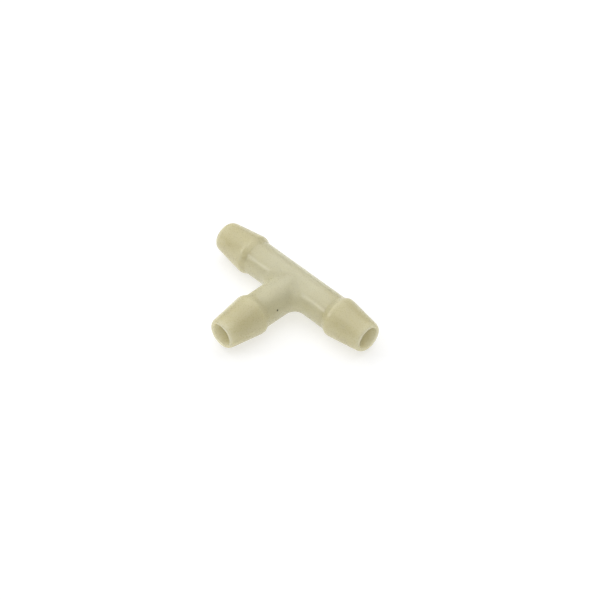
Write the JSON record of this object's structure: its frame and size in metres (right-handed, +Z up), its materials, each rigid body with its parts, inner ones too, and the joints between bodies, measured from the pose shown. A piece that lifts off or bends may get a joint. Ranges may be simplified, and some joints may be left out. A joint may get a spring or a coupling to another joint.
{
  "type": "barbed tee connector",
  "caption": "Equal tee in natural nylon whose arms end in tapered hose barbs, for joining flexible low-pressure irrigation hose.",
  "frame": {"origin": "where the axis of the run crosses the axis of the branch, at the centre of the junction", "axes": "+X along the run to the right lip, -Y out along the branch, +Z up when the tee lies flat on its three barbs"},
  "size_m": [0.044, 0.0261, 0.009],
  "materials": {
    "natural_nylon": "milky, slightly translucent, satin as moulded"
  },
  "bodies": {
    "root": {"junction": "natural_nylon", "left_stem": "natural_nylon", "right_stem": "natural_nylon", "branch_stem": "natural_nylon", "left_barb": "natural_nylon", "right_barb": "natural_nylon", "branch_barb": "natural_nylon"}
  },
  "joints": []
}
